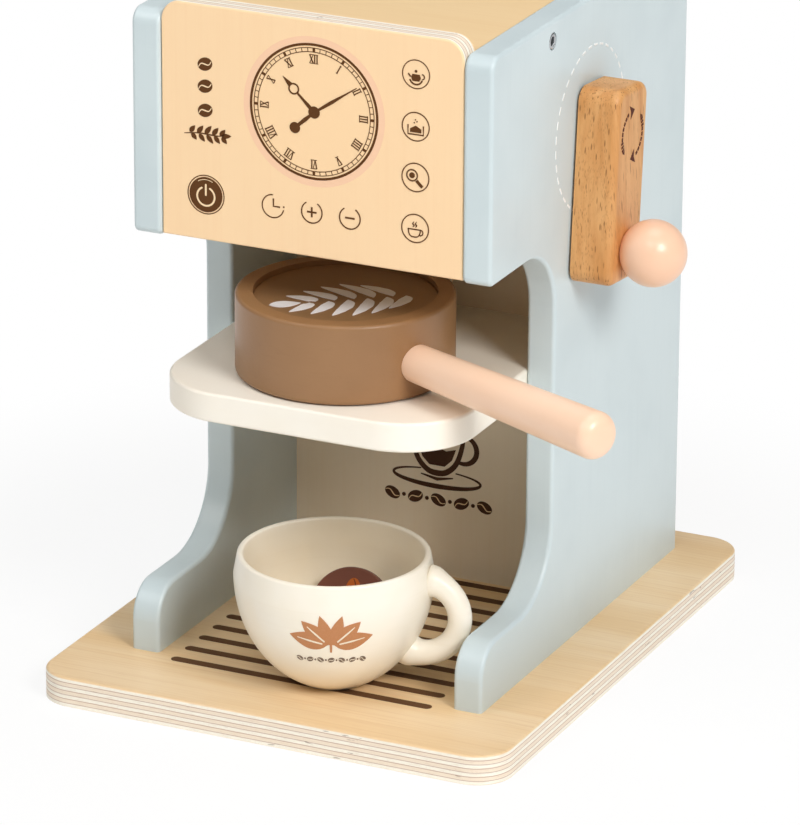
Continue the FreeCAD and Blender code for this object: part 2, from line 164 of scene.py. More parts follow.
def tone(code, darker=1.0):
    """A colour written as on a paint card, made linear for the shader."""
    channels = []
    for start in (0, 2, 4):
        part = int(code[start:start + 2], 16) / 255
        part = part / 12.92 if part <= 0.04045 else ((part + 0.055) / 1.055) ** 2.4
        channels.append(part * darker)
    return (*channels, 1.0)


class Finish(Tree):
    """The finish of one material: object coordinates in, one shader out."""

    def __init__(self, name):
        self.material = bpy.data.materials.new(name)
        self.material.use_nodes = True
        super().__init__(self.material.node_tree)
        self.nodes.clear()
        self.shader = self.nodes.new("ShaderNodeBsdfPrincipled")
        output = self.nodes.new("ShaderNodeOutputMaterial")
        self.links.new(self.shader.outputs[0], output.inputs[0])
        coordinates = self.node("ShaderNodeTexCoord", {}, {}, "Object")
        settings = {"operation": "SCALE"}
        self.place = self.node("ShaderNodeVectorMath", settings, {0: coordinates, "Scale": 1000.0})
        self.x = self.node("ShaderNodeSeparateXYZ", {}, [self.place], 0)
        self.y = self.x.out("Y")
        self.z = self.x.out("Z")

    def stretched(self, along, scale):
        return self.node("ShaderNodeVectorMath", {"operation": "MULTIPLY"}, [along, scale])

    def moved(self, along, step):
        return self.node("ShaderNodeVectorMath", {"operation": "ADD"}, [along, step])

    def joined(self, x, y, z):
        return self.node("ShaderNodeCombineXYZ", {}, [x, y, z])

    def noise(self, scale, detail=3.0, rough=0.55, at=None, warp=0.0):
        """Soft cloud. scale is how many clouds there are in each millimetre, in all or along X, Y and Z."""
        scale = scale if isinstance(scale, tuple) else (scale, scale, scale)
        vector = self.stretched(at or self.place, scale)
        inputs = {"Vector": vector, "Scale": 1.0, "Detail": detail, "Roughness": rough, "Distortion": warp}
        return self.node("ShaderNodeTexNoise", {}, inputs, "Fac")

    def cells(self, scale, at):
        """How far each place is from the middle of its cell. scale counts the cells in each millimetre."""
        inputs = {"Vector": self.stretched(at, scale), "Scale": 1.0}
        return self.node("ShaderNodeTexVoronoi", {}, inputs, "Distance")

    def blend(self, share, first, second):
        return self.node("ShaderNodeMix", {"data_type": "RGBA"}, {0: share, 6: first, 7: second}, 2)

    def done(self, colour, roughness, relief=None, relief_mm=0.05, **constants):
        """Ends the material. What changes over the surface feeds only colour, roughness and normal."""
        self.feed(self.shader.inputs["Base Color"], colour)
        self.feed(self.shader.inputs["Roughness"], roughness)
        if relief is not None:
            inputs = {"Strength": 1.0, "Distance": relief_mm * MM, "Height": relief}
            bump = self.node("ShaderNodeBump", {}, inputs)
            self.feed(self.shader.inputs["Normal"], bump)
        for name, value in constants.items():
            self.shader.inputs[name.replace("_", " ")].default_value = value
        return self.material


# Wood, paint, metal and ink

X, Y, Z = 0, 1, 2


def along_axis(axis, along, across):
    scale = [across, across, across]
    scale[axis] = along
    return tuple(scale)


def wood_grain(finish, grain, figure=0.05, pores=2.2):
    """Three readings of a clear wood: broad figure, fine growth lines and short pores."""
    broad = finish.noise(along_axis(grain, figure * 0.12, figure), 3.0, 0.5, warp=0.6)
    lines = finish.noise(along_axis(grain, 0.012, 0.75), 4.0, 0.6, warp=0.15)
    pore = finish.noise(along_axis(grain, 0.11, pores), 2.0, 0.5)
    return broad, lines, pore.between(0.60, 0.74)


def ply_board(name, tones, layer_axis, low, high, grain, plies, sheen, figure, faces=(0.9, 0.9)):
    """A board of thin plies. Its faces show a clear veneer, as thick as faces says, its edges the stack."""
    finish = Finish(name)
    pale, warm, pore_tone = (tone(code) for code in tones)
    broad, lines, pores = wood_grain(finish, grain)
    face_tone = finish.blend(broad.between(0.3, 0.72) * figure, pale, warm)
    face_tone = finish.blend(lines.between(0.42, 0.75) * 0.30 * figure, face_tone, pore_tone)
    face_tone = finish.blend(pores * 0.16 * figure, face_tone, pore_tone)
    depth = (finish.x, finish.y, finish.z)[layer_axis]
    waver = finish.noise(0.04, 2.0, 0.5) - 0.5
    share = (depth + waver * 0.3 - low) / (high - low)
    stack = (share * plies).maths("FRACT")
    glue = stack.between(0.74, 0.84) * (1 - stack.between(0.93, 1.0))
    every_other = (share * plies / 2).maths("FRACT").between(0.49, 0.51)
    fuzz = finish.noise(1.3, 4.0, 0.7)
    long_fuzz = finish.noise(along_axis(layer_axis, 3.4, 0.16), 3.0, 0.65)
    edge_tone = finish.blend(every_other, tone("FEF9EB"), tone("F6E7D3"))
    edge_tone = finish.blend(long_fuzz.between(0.45, 0.75) * 0.45, edge_tone, tone("D8BCA2"))
    edge_tone = finish.blend(fuzz.between(0.5, 0.8) * 0.20, edge_tone, tone("C9A78E"))
    edge_tone = finish.blend(glue * 0.80, edge_tone, tone("B78D78"))
    knots = finish.noise((0.16, 0.16, 0.9), 2.0, 0.5, finish.moved(finish.place, (9.0, 4.0, 2.0)))
    edge_tone = finish.blend(knots.between(0.70, 0.76) * 0.55, edge_tone, tone("7A5843"))
    lower, upper = (veneer / (high - low) for veneer in faces)
    under_face = share.between(0.4 * lower, lower)
    over_face = 1 - share.between(1 - upper, 1 - 0.4 * upper)
    on_edge = under_face * over_face
    colour = finish.blend(on_edge, face_tone, edge_tone)
    gloss = sheen + lines * 0.08 + on_edge * 0.14
    relief = lines * 0.25 + pores * -0.4 + on_edge * glue * -0.8 + fuzz * 0.10
    return finish.done(colour, gloss, relief, 0.03, Coat_Weight=0.06, Coat_Roughness=0.25)


def base_wood():
    tones = ("F5DAB2", "EBC794", "CC9960")
    return ply_board("varnished birch ply", tones, Z, 0.0, 12.0, X, 7, 0.36, 0.85, (0.15, 0.9))


def board_wood(name, node, axis, grain, tones):
    """The wood of one thinner board, whose plies lie across the given axis."""
    low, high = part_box(node)
    return ply_board(name, tones, axis, low[axis] / MM, high[axis] / MM, grain, 5, 0.46, 0.30)


def painted(name, colour, shade, wood_axis, sheen, brush, relief_mm):
    """Sprayed paint over sanded wood: a slow drift of tone, fine orange peel and a hint of the grain."""
    finish = Finish(name)
    colour, shade = tone(colour), tone(shade)
    drift = finish.noise(0.018, 3.0, 0.5)
    peel = finish.noise(1.15, 3.0, 0.55)
    grain = finish.noise(along_axis(wood_axis, 0.02, brush), 3.0, 0.6)
    mixed = finish.blend(drift.between(0.3, 0.7) * 0.8, colour, shade)
    mixed = finish.blend(grain.between(0.5, 0.8) * 0.22, mixed, shade)
    gloss = sheen + peel * 0.10 + drift * 0.05
    relief = peel * 0.55 + grain * 0.6
    return finish.done(mixed, gloss, relief, relief_mm, Coat_Weight=0.12, Coat_Roughness=0.22)


def side_paint():
    return painted("blue grey satin paint", "D2DFE2", "C6D4D8", Z, 0.30, 0.45, 0.05)


def shelf_paint():
    return painted("cream satin paint", "FFF9ED", "FBF1E0", X, 0.36, 0.5, 0.03)


def coffee_paint(name, colour, shade):
    return painted(name, colour, shade, X, 0.36, 0.7, 0.05)


def peach_paint(name, colour, shade):
    return painted(name, colour, shade, X, 0.24, 0.5, 0.003)


def cup_paint():
    """Ivory paint on turned wood, with faint turning rings, painted shade towards the foot and a painted warm
    reflection inside the bowl.
    """
    finish = Finish("ivory turned wood paint")
    drift = finish.noise(0.03, 3.0, 0.5)
    rings = finish.noise((0.01, 0.01, 0.8), 3.0, 0.6)
    peel = finish.noise(1.3, 3.0, 0.55)
    mixed = finish.blend(drift.between(0.3, 0.7), tone("FDF7EA"), tone("FAF1DF"))
    mixed = finish.blend(rings.between(0.55, 0.8) * 0.12, mixed, tone("E4D3B4"))
    height = finish.z - cup_foot_z
    # Painted shade: over its lowest 9 mm the paint darkens towards a warm tan at the foot.
    low = 1 - height.between(0.0, 9.0)
    mixed = finish.blend(low * 0.25, mixed, tone("E3D0AE"))
    # Painted reflection and shade: just inside the wall the paint turns tan, like light bounced off the wood,
    # most strongly low in the bowl.
    below = (cup_waist - height).maths("MAXIMUM", 0.0) / cup_curve
    wall = (1.0 - below * below).maths("MAXIMUM", 0.0).maths("SQRT") * cup_radius
    across, deep = finish.x - cup_x, finish.y - cup_y
    from_middle = (across * across + deep * deep).maths("SQRT")
    inside = (wall - cup_wall * 0.6 - from_middle).between(0.0, 1.2)
    mixed = finish.blend(inside * (0.75 - height / 110.0), mixed, tone("E6CFA2"))
    gloss = 0.30 + peel * 0.10
    return finish.done(mixed, gloss, peel * 0.5 + rings * 0.4, 0.035, Coat_Weight=0.15, Coat_Roughness=0.2)


def beech():
    """Oiled beech with its short dark rays and pores, which run along the lever."""
    finish = Finish("oiled beech")
    lean = sin(lever_tilt)
    run = finish.z + finish.y * lean
    width = finish.y - (finish.z - axle_z) * lean
    straight = finish.joined(finish.x, width, run)
    broad = finish.noise((0.10, 0.10, 0.012), 3.0, 0.5, straight, 0.8)
    lines = finish.noise((0.9, 0.9, 0.03), 4.0, 0.65, straight, 0.2)
    jitter = finish.noise((0.7, 0.7, 0.10), 2.0, 0.5, finish.moved(straight, (7.0, 3.0, 11.0)))
    rays = finish.cells((0.80, 0.80, 0.085), straight)
    size = finish.noise((0.2, 0.2, 0.05), 2.0, 0.5, finish.moved(straight, (31.0, 5.0, 2.0)))
    ray = (1 - rays.between(0.14, 0.30)) * jitter.between(0.34, 0.50)
    small = finish.cells((1.9, 1.9, 0.24), finish.moved(straight, (3.0, 9.0, 4.0)))
    small = (1 - small.between(0.16, 0.34)) * size.between(0.40, 0.60)
    colour = finish.blend(broad.between(0.28, 0.72), tone("E3AC6F"), tone("D0904F"))
    colour = finish.blend(lines.between(0.42, 0.75) * 0.50, colour, tone("BE8247"))
    colour = finish.blend(small * 0.55, colour, tone("9C6632"))
    colour = finish.blend(ray * 0.88, colour, tone("935E2B"))
    gloss = 0.42 + lines * 0.12 + ray * 0.12
    relief = lines * 0.3 - ray * 0.6 - small * 0.3
    return finish.done(colour, gloss, relief, 0.04, Coat_Weight=0.05, Coat_Roughness=0.3)


def plain_wood(name, pale, dark, grain):
    finish = Finish(name)
    broad, lines, pores = wood_grain(finish, grain, 0.09, 2.6)
    colour = finish.blend(broad.between(0.3, 0.7), tone(pale), tone(dark))
    colour = finish.blend(lines.between(0.45, 0.75) * 0.35, colour, tone(dark, 0.75))
    colour = finish.blend(pores * 0.25, colour, tone(dark, 0.55))
    return finish.done(colour, 0.50 + lines * 0.12, lines * 0.5 - pores * 0.6, 0.04)


def steel():
    """Turned steel, with rings of fine tool marks and a slight bluish drift."""
    finish = Finish("turned steel")
    marks = finish.noise(4.0, 2.0, 0.5)
    drift = finish.noise(0.25, 2.0, 0.5)
    colour = finish.blend(drift, tone("C6C8C9"), tone("ABAFB3"))
    return finish.done(colour, 0.22 + marks * 0.12, marks, 0.01, Metallic=1.0)


def brass():
    finish = Finish("machined brass")
    marks = finish.noise((4.0, 4.0, 1.2), 2.0, 0.5)
    drift = finish.noise(0.25, 2.0, 0.5)
    colour = finish.blend(drift, tone("D9B364"), tone("BF9445"))
    return finish.done(colour, 0.26 + marks * 0.14, marks, 0.01, Metallic=1.0)


def nylon():
    finish = Finish("natural nylon")
    cloud = finish.noise(0.2, 2.0, 0.5)
    fine = finish.noise(3.0, 2.0, 0.5)
    colour = finish.blend(cloud, tone("F0EEE4"), tone("E2DFD1"))
    return finish.done(colour, 0.38 + fine * 0.08, fine, 0.01, Subsurface_Weight=0.05)


def felt():
    finish = Finish("grey felt")
    fibres = finish.noise((2.2, 5.0, 5.0), 5.0, 0.75, warp=1.2)
    cloud = finish.noise(0.4, 2.0, 0.5)
    colour = finish.blend(fibres.between(0.3, 0.7), tone("8D9092"), tone("6F7375"))
    colour = finish.blend(cloud * 0.3, colour, tone("A4A7A8"))
    return finish.done(colour, 0.92 + fibres * 0.05, fibres, 0.25, Sheen_Weight=0.4)


def ink(name, colour, shade):
    """Screen printed ink: nearly flat, with a fine mottle from the wood that it lies on."""
    finish = Finish(name)
    mottle = finish.noise(1.6, 3.0, 0.6)
    drift = finish.noise(0.08, 2.0, 0.5)
    mixed = finish.blend(mottle.between(0.35, 0.75) * 0.5, tone(colour), tone(shade))
    mixed = finish.blend(drift * 0.25, mixed, tone(shade))
    return finish.done(mixed, 0.60 + mottle * 0.12, mottle, 0.012, Specular_IOR_Level=0.2)


def coin_paint():
    return painted("dark red brown paint", "6E3A26", "5E2F1E", X, 0.38, 0.8, 0.03)


finishes = {
    "brown ink": ink("dark brown ink", "5C3717", "6A431F"),
    "stripe ink": ink("stripe brown ink", "5F4129", "6E4E33"),
    "blush ink": ink("blush ink", "FBD0AE", "FACEA9"),
    "dial ink": ink("dial tint", "FFDCAF", "FED8A9"),
    "cream ink": ink("cream ink", "FBE0B8", "F4D3A5"),
    "white ink": ink("white ink", "FBFCFB", "EEF2F2"),
    "foam ink": ink("milk foam ink", "EAE8EA", "E0DEE0"),
    "leaf ink": ink("tan leaf ink", "C08458", "CB9169"),
    "vein ink": ink("ivory vein ink", "F4E8D2", "EFE1C8"),
    "grey ink": ink("grey brown ink", "7C6A5C", "8B7868"),
    "wall ink": ink("wall print ink", "4C3020", "583A28"),
    "arrow ink": ink("burnt brown ink", "54271A", "602F20"),
    "bean ink": ink("orange brown ink", "B05C24", "9E4F1D"),
    "bean slit ink": ink("bean slit ink", "6E3A1E", "5E3018"),
}


def dress(node, material):
    """Gives a board of the frame its finish. Its shape stays as it is."""
    mesh = parts[node].data
    mesh.materials.clear()
    mesh.materials.append(material)


def dress_frame():
    dress("base_board", base_wood())
    paint = side_paint()
    dress("left_side_panel", paint)
    dress("right_side_panel", paint)
    dress("shelf", shelf_paint())
    face_tones = ("FFDCAF", "FED7A8", "F3C18E")
    wall_tones = ("FBEDD6", "F8E7CC", "EED5AE")
    inner_tones = ("F3D3A2", "EDC892", "D9A870")
    boards = {
        "front_panel": (Y, Z, face_tones), "back_panel": (Y, Z, wall_tones),
        "rear_panel": (Y, Z, inner_tones), "top_panel": (Z, X, inner_tones),
        "housing_floor": (Z, X, inner_tones), "chute_front_board": (Y, Z, inner_tones),
        "chute_back_board": (Y, Z, inner_tones), "chute_side_strips": (X, Z, inner_tones),
    }
    for node, (axis, grain, tones) in boards.items():
        name = "pale face board" if node == "front_panel" else node.replace("_", " ") + " wood"
        dress(node, board_wood(name, node, axis, grain, tones))
    dress("slot_guides", plain_wood("guide strip wood", "EBCB9B", "D9AE78", X))
    screw_steel = steel()
    for screw in ("side_cap_screws", "barrel_nuts", "base_screws", "knob_screw", "pivot_screw"):
        dress(screw, screw_steel)
    dress("pivot_washer", screw_steel)
    dowel_wood = plain_wood("ramin dowel", "EDD3A8", "DDBB86", X)
    for dowel in ("shelf_dowels", "front_panel_dowels", "crank_axle", "left_axle_stub", "axle_collars"):
        dress(dowel, dowel_wood)
    dress("slotted_drum", plain_wood("turned drum wood", "E0B883", "C9985F", X))
    bush = nylon()
    dress("left_axle_bush", bush)
    dress("right_axle_bush", bush)
    dress("felt_washer", felt())
    dress("crank_lever", beech())
    dress("knob_ball", peach_paint("peach satin paint", "FBCFB0", "F8C7A6"))
    # The handle takes a lighter copy of the knob's peach paint: painted light, standing in for the brighter
    # light on the handle.
    dress("portafilter_handle", peach_paint("peach satin paint painted lighter", "FFDBBF", "FDD3B4"))
    dress("portafilter_body", coffee_paint("coffee brown paint", "9D744C", "8C6540"))
    dress("latte_disc", coffee_paint("coffee face paint", "8F6A46", "80603C"))
    dress("pivot_insert", brass())
    dress("coin", coin_paint())


# Printed ink


def on_front(u, v, h):
    return Vector((u, front_y - h, v)) * MM


def on_back_wall(u, v, h):
    return Vector((u, back_wall_y - h, v)) * MM


def on_base(u, v, h):
    return Vector((u, v, base_top_z + h)) * MM


def on_side(u, v, h):
    return Vector((side_x + h, u, v)) * MM


def on_lever(u, v, h):
    """u and v run from the axle, across and up the lever, which leans a little."""
    y = u * cos(lever_tilt) - v * sin(lever_tilt)
    z = u * sin(lever_tilt) + v * cos(lever_tilt)
    return Vector((lever_face_x + h, axle_y + y, axle_z + z)) * MM


def on_disc(u, v, h):
    return Vector((u, portafilter_y + v, disc_top_z + h)) * MM


def on_coin(u, v, h):
    up = Vector((0, sin(coin_lean), cos(coin_lean)))
    out = Vector((0, -cos(coin_lean), sin(coin_lean)))
    return (coin_middle + Vector((u, 0, 0)) + up * v + out * (coin_half_thick + h)) * MM


def bowl_radius(height, radius=cup_radius, curve=cup_curve):
    if height >= cup_waist:
        return radius
    return radius * sqrt(max(0.0, 1 - ((cup_waist - height) / curve) ** 2))


def on_cup(u, v, h):
    """Wraps a print round the front of the cup. v is the height above its foot."""
    radius = bowl_radius(v)
    slope = bowl_radius(v + 0.5) - bowl_radius(v - 0.5)
    tip = Vector((1.0, -slope)).normalized()
    turn = cup_print_turn + u / cup_radius
    reach = radius + h * tip.x
    height = v + h * tip.y
    x = cup_x + reach * cos(turn)
    y = cup_y + reach * sin(turn)
    return Vector((x, y, cup_foot_z + height)) * MM


def turned(u, v, across, up, turn):
    """A point beside (u, v), turned about it by an angle in radians."""
    return (u + across * cos(turn) - up * sin(turn), v + across * sin(turn) + up * cos(turn))


def smooth_line(points, steps=6):
    """Points along a smooth line that passes through all the given ones."""
    ends = [points[0]] + list(points) + [points[-1]]
    line = []
    for four in zip(ends, ends[1:], ends[2:], ends[3:]):
        for step in range(steps):
            t = step / steps
            spot = []
            for p, q, r, s in zip(*four):
                bend = (2 * p - 5 * q + 4 * r - s) * t * t + (3 * q - p - 3 * r + s) * t ** 3
                spot.append(0.5 * (2 * q + (r - p) * t + bend))
            line.append(tuple(spot))
    line.append(tuple(points[-1]))
    return line


def arc_line(u, v, radius, start, end, steps=32):
    """Points round a centre, with angles in degrees counted up from the right hand side."""
    turns = [radians(start + (end - start) * step / steps) for step in range(steps + 1)]
    return [(u + radius * cos(turn), v + radius * sin(turn)) for turn in turns]


class Print:
    """Flat shapes across (u) and up (v) in millimetres, raised into a thin layer of ink."""

    def __init__(self, name, place, body, material, lift=INK_HEIGHT):
        self.name = name
        self.place = place
        self.body = body
        self.material = material
        self.lift = lift
        self.points = []
        self.faces = []

    def shape(self, points, faces):
        """One closed thin shape: top, underside and the wall between them."""
        start = len(self.points)
        count = len(points)
        top = self.lift + min(INK_STEP * len(self.faces) ** 0.5, INK_STEPS_MOST)
        self.points += [self.place(u, v, -INK_SINK) for u, v in points]
        self.points += [self.place(u, v, top) for u, v in points]
        edges = set()
        for face in faces:
            self.faces.append([start + count + n for n in face])
            self.faces.append([start + n for n in reversed(face)])
            edges.update(zip(face, face[1:] + face[:1]))
        for a, b in edges:
            if (b, a) not in edges:
                self.faces.append([start + a, start + b, start + count + b, start + count + a])

    def area(self, corners):
        size = sum(a[0] * b[1] - b[0] * a[1] for a, b in zip(corners, corners[1:] + corners[:1]))
        corners = corners if size > 0 else corners[::-1]
        self.shape(corners, [list(range(len(corners)))])

    def disc(self, u, v, radius, tall=None, turn=0.0, steps=40):
        """A disc, or an oval where tall is given."""
        tall = tall or radius
        angles = [2 * pi * step / steps for step in range(steps)]
        self.area([turned(u, v, radius * cos(angle), tall * sin(angle), turn) for angle in angles])

    def ring(self, u, v, radius, width, steps=72):
        points = arc_line(u, v, radius - width / 2, 0, 360, steps)[:-1]
        points += arc_line(u, v, radius + width / 2, 0, 360, steps)[:-1]
        faces = []
        for n in range(steps):
            m = (n + 1) % steps
            faces.append([n, n + steps, m + steps, m])
        self.shape(points, faces)

    def stroke(self, line, widths, round_ends=True):
        """A line with round ends. widths is one width, or a list of widths spread along the line."""
        line = [Vector(point) for point in line]
        line = line[:1] + [after for before, after in zip(line, line[1:]) if (after - before).length > 1e-6]
        count = len(line)
        widths = widths if isinstance(widths, list) else [widths, widths]
        left, right = [], []
        for n, point in enumerate(line):
            run = (line[min(count - 1, n + 1)] - line[max(0, n - 1)]).normalized()
            spot = n / (count - 1) * (len(widths) - 1)
            k = min(int(spot), len(widths) - 2)
            half = (widths[k] + (widths[k + 1] - widths[k]) * (spot - k)) / 2
            side = Vector((-run.y, run.x)) * half
            left.append(point + side)
            right.append(point - side)
        points = left + right
        faces = [[n + count, n + 1 + count, n + 1, n] for n in range(count - 1)]
        if round_ends:
            for end, before in ((0, 1), (count - 1, count - 2)):
                ahead = line[end] - line[before]
                heading = degrees(atan2(ahead.y, ahead.x))
                half = (left[end] - line[end]).length
                if half < FINEST_END:
                    continue
                pair = [end + count, end] if end == 0 else [end, end + count]
                faces.append(pair + [len(points) + step for step in range(5)])
                points += arc_line(*line[end], half, heading - 60, heading + 60, 4)
        self.shape(points, faces)

    def made(self):
        mesh = bpy.data.meshes.new(self.name)
        mesh.from_pydata([tuple(point) for point in self.points], [], self.faces)
        return finished(self.name, mesh, finishes[self.material], self.body)


def finished(name, mesh, material, body, replaced=()):
    """Links a mesh as a piece of the object, with its faces outwards, its finish and its body."""
    shell = bmesh.new()
    shell.from_mesh(mesh)
    bmesh.ops.recalc_face_normals(shell, faces=shell.faces)
    shell.to_mesh(mesh)
    shell.free()
    if material is not None:
        mesh.materials.clear()
        mesh.materials.append(material)
    piece = bpy.data.objects.new(name, mesh)
    bpy.context.scene.collection.objects.link(piece)
    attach(piece, body)
    if replaced:
        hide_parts(*replaced)
    return piece


# Patterns that repeat


class Pattern(Tree):
    """A Geometry Nodes tree that lays out copies, with named inputs in metres and radians."""

    def __init__(self, name, *labels):
        self.group = bpy.data.node_groups.new(name, "GeometryNodeTree")
        super().__init__(self.group)
        self.sockets = {}
        new_socket = self.group.interface.new_socket
        for label in (*labels, "Material"):
            kind = {"Count": "Int", "Material": "Material"}.get(label, "Float")
            made = new_socket(name=label, in_out="INPUT", socket_type="NodeSocket" + kind)
            self.sockets[label] = made.identifier
        new_socket(name="Geometry", in_out="OUTPUT", socket_type="NodeSocketGeometry")
        self.source = self.nodes.new("NodeGroupInput")

    def given(self, label):
        return Value(self, self.source.outputs[label])

    def vector(self, x=0.0, y=0.0, z=0.0):
        return self.node("ShaderNodeCombineXYZ", {}, [x, y, z])

    def ends(self, copies):
        real = self.node("GeometryNodeRealizeInstances", {}, [copies])
        inputs = {"Geometry": real, "Material": self.given("Material")}
        coated = self.node("GeometryNodeSetMaterial", {}, inputs)
        output = self.nodes.new("NodeGroupOutput")
        self.feed(output.inputs[0], coated)

    def turned_copies(self, single):
        """Copies of one shape about the Z axis, from the start angle in equal steps."""
        spots = self.node("GeometryNodePoints", {}, {"Count": self.given("Count")})
        number = self.node("GeometryNodeInputIndex")
        turn = self.given("Start") + number * self.given("Step")
        rotation = self.node("FunctionNodeEulerToRotation", {}, [self.vector(z=turn)])
        inputs = {"Points": spots, "Instance": single, "Rotation": rotation}
        return self.node("GeometryNodeInstanceOnPoints", {}, inputs)

    def laid(self, name, body, values, place):
        """Sets the inputs, turns the result into one plain mesh and places it."""
        carrier = bpy.data.objects.new(name + "_pattern", bpy.data.meshes.new(name))
        bpy.context.scene.collection.objects.link(carrier)
        layout = carrier.modifiers.new("layout", "NODES")
        layout.node_group = self.group
        for label, value in values.items():
            layout[self.sockets[label]] = value
        graph = bpy.context.evaluated_depsgraph_get()
        laid_out = carrier.evaluated_get(graph)
        mesh = bpy.data.meshes.new_from_object(laid_out, preserve_all_data_layers=True, depsgraph=graph)
        carrier.modifiers.remove(layout)
        bpy.data.objects.remove(carrier)
        mesh.transform(place)
        mesh.name = name
        return finished(name, mesh, None, body)


def stripe_pattern():
    """Bars with round ends, side by side."""
    tree = Pattern("drip stripes", "Count", "Pitch", "Length", "Width", "Height")
    outline = tree.node(
        "GeometryNodeCurvePrimitiveQuadrilateral", {"mode": "RECTANGLE"},
        {"Width": tree.given("Length"), "Height": tree.given("Width")},
    )
    rounded = tree.node(
        "GeometryNodeFilletCurve", {"mode": "POLY"},
        {"Curve": outline, "Count": 8, "Radius": tree.given("Width") * 0.499},
    )
    sheet = tree.node("GeometryNodeFillCurve", {"mode": "NGONS"}, [rounded])
    raised = tree.node(
        "GeometryNodeExtrudeMesh", {"mode": "FACES"},
        {"Mesh": sheet, "Offset Scale": tree.given("Height"), "Individual": False},
    )
    under = tree.node("GeometryNodeFlipFaces", {}, [sheet])
    bar = tree.node("GeometryNodeJoinGeometry", {}, [[raised, under]])
    bar = tree.node("GeometryNodeMergeByDistance", {}, {"Geometry": bar, "Distance": 1e-6})
    line = tree.node(
        "GeometryNodeMeshLine", {"mode": "OFFSET"},
        {"Count": tree.given("Count"), "Offset": tree.vector(y=tree.given("Pitch"))},
    )
    tree.ends(tree.node("GeometryNodeInstanceOnPoints", {}, {"Points": line, "Instance": bar}))
    return tree


def tick_pattern():
    """Short bars that point at a centre."""
    tree = Pattern("dial ticks", "Count", "Start", "Step", "Radius", "Length", "Width", "Height")
    size = tree.vector(tree.given("Length"), tree.given("Width"), tree.given("Height"))
    bar = tree.node("GeometryNodeMeshCube", {}, {"Size": size})
    out = tree.vector(tree.given("Radius"))
    moved = tree.node("GeometryNodeTransform", {}, {"Geometry": bar, "Translation": out})
    tree.ends(tree.turned_copies(moved))
    return tree


def dash_pattern():
    """Curved dashes round a centre."""
    tree = Pattern("curved dashes", "Count", "Start", "Step", "Radius", "Sweep", "Width", "Height")
    bend = {"Radius": tree.given("Radius"), "Start Angle": 0.0, "Sweep Angle": tree.given("Sweep")}
    arc = tree.node("GeometryNodeCurveArc", {"mode": "RADIUS"}, {"Resolution": 5, **bend})
    arc = tree.node("GeometryNodeSetCurveNormal", {"mode": "Z_UP"}, [arc])
    section = tree.node(
        "GeometryNodeCurvePrimitiveQuadrilateral", {"mode": "RECTANGLE"},
        {"Width": tree.given("Width"), "Height": tree.given("Height")},
    )
    inputs = {"Curve": arc, "Profile Curve": section, "Fill Caps": True}
    tree.ends(tree.turned_copies(tree.node("GeometryNodeCurveToMesh", {}, inputs)))
    return tree


# Turns a layout drawn flat on the floor so that it faces right, with its own up as up
FACE_RIGHT = Matrix(((0, 0, 1, 0), (1, 0, 0, 0), (0, 1, 0, 0), (0, 0, 0, 1)))


def facing_front(u, v):
    return Matrix.Translation(on_front(u, v, 0.0)) @ Matrix.Rotation(radians(90), 4, "X")


def facing_side(u, v):
    return Matrix.Translation(on_side(u, v, 0.0)) @ FACE_RIGHT


def facing_lever(u, v):
    return Matrix.Translation(on_lever(u, v, 0.0)) @ Matrix.Rotation(lever_tilt, 4, "X") @ FACE_RIGHT


ticks = tick_pattern()
dashes = dash_pattern()


# The printed face

dial_u, dial_v = 1.3, 243.9
dial_rim, track_outer, track_inner = 26.6, 25.3, 23.7
fine_line = 0.28
numeral_reach, numeral_height = 20.9, 3.4
numeral_thick, numeral_thin, serif_thick, serif_inset = 0.46, 0.25, 0.26, 0.1


def coffee_bean(bean, slit, u, v, length, width, turn):
    """A bean with a gently bent slit."""
    lean = radians(turn)
    bean.disc(u, v, length / 2, width / 2, lean, 36)
    bends = [(-0.46, -0.05), (-0.2, 0.13), (0.2, -0.13), (0.46, 0.05)]
    bent = smooth_line([(across * length, up * width) for across, up in bends])
    slit.stroke([turned(u, v, *point, lean) for point in bent], [0.05 * width, 0.10 * width, 0.05 * width])


def bean_row(drawing, slits, first, count, pitch, size, dot, dot_sides):
    """Beans that lean to and fro, with a dot between each two."""
    u, v = first
    for n in range(count):
        coffee_bean(drawing, slits, u + pitch * n, v, *size, 24 if n % 2 else -24)
        if n < count - 1:
            drawing.disc(u + pitch * (n + 0.5), v, dot, steps=dot_sides)


def numeral_strokes(sign):
    """The strokes of one Roman sign, as lines with a width each, and how wide the sign is."""
    half, reach = numeral_height / 2, 0.22 * numeral_height
    if sign == "I":
        return [([(0, -half), (0, half)], numeral_thick)], 0.30 * numeral_height
    foot = 0 if sign == "V" else reach
    falling, rising = [(-reach, half), (foot, -half)], [(reach, half), (-foot, -half)]
    return [(falling, numeral_thick), (rising, numeral_thin)], 0.50 * numeral_height


def dial_numerals(face):
    names = ["XII", "I", "II", "III", "IIII", "V", "VI", "VII", "VIII", "IX", "X", "XI"]
    for hour, name in enumerate(names):
        total = sum(numeral_strokes(sign)[1] for sign in name)
        lines = []
        left = -total / 2
        for sign in name:
            strokes, wide = numeral_strokes(sign)
            lines += [([(a + left + wide / 2, b) for a, b in line], thick) for line, thick in strokes]
            left += wide
        reach = total / 2 - serif_inset
        for edge in (-numeral_height / 2, numeral_height / 2):
            lines.append(([(-reach, edge), (reach, edge)], serif_thick))
        for line, thick in lines:
            places = [turned(dial_u, dial_v, a, b + numeral_reach, radians(-30 * hour)) for a, b in line]
            face.stroke(places, thick, False)


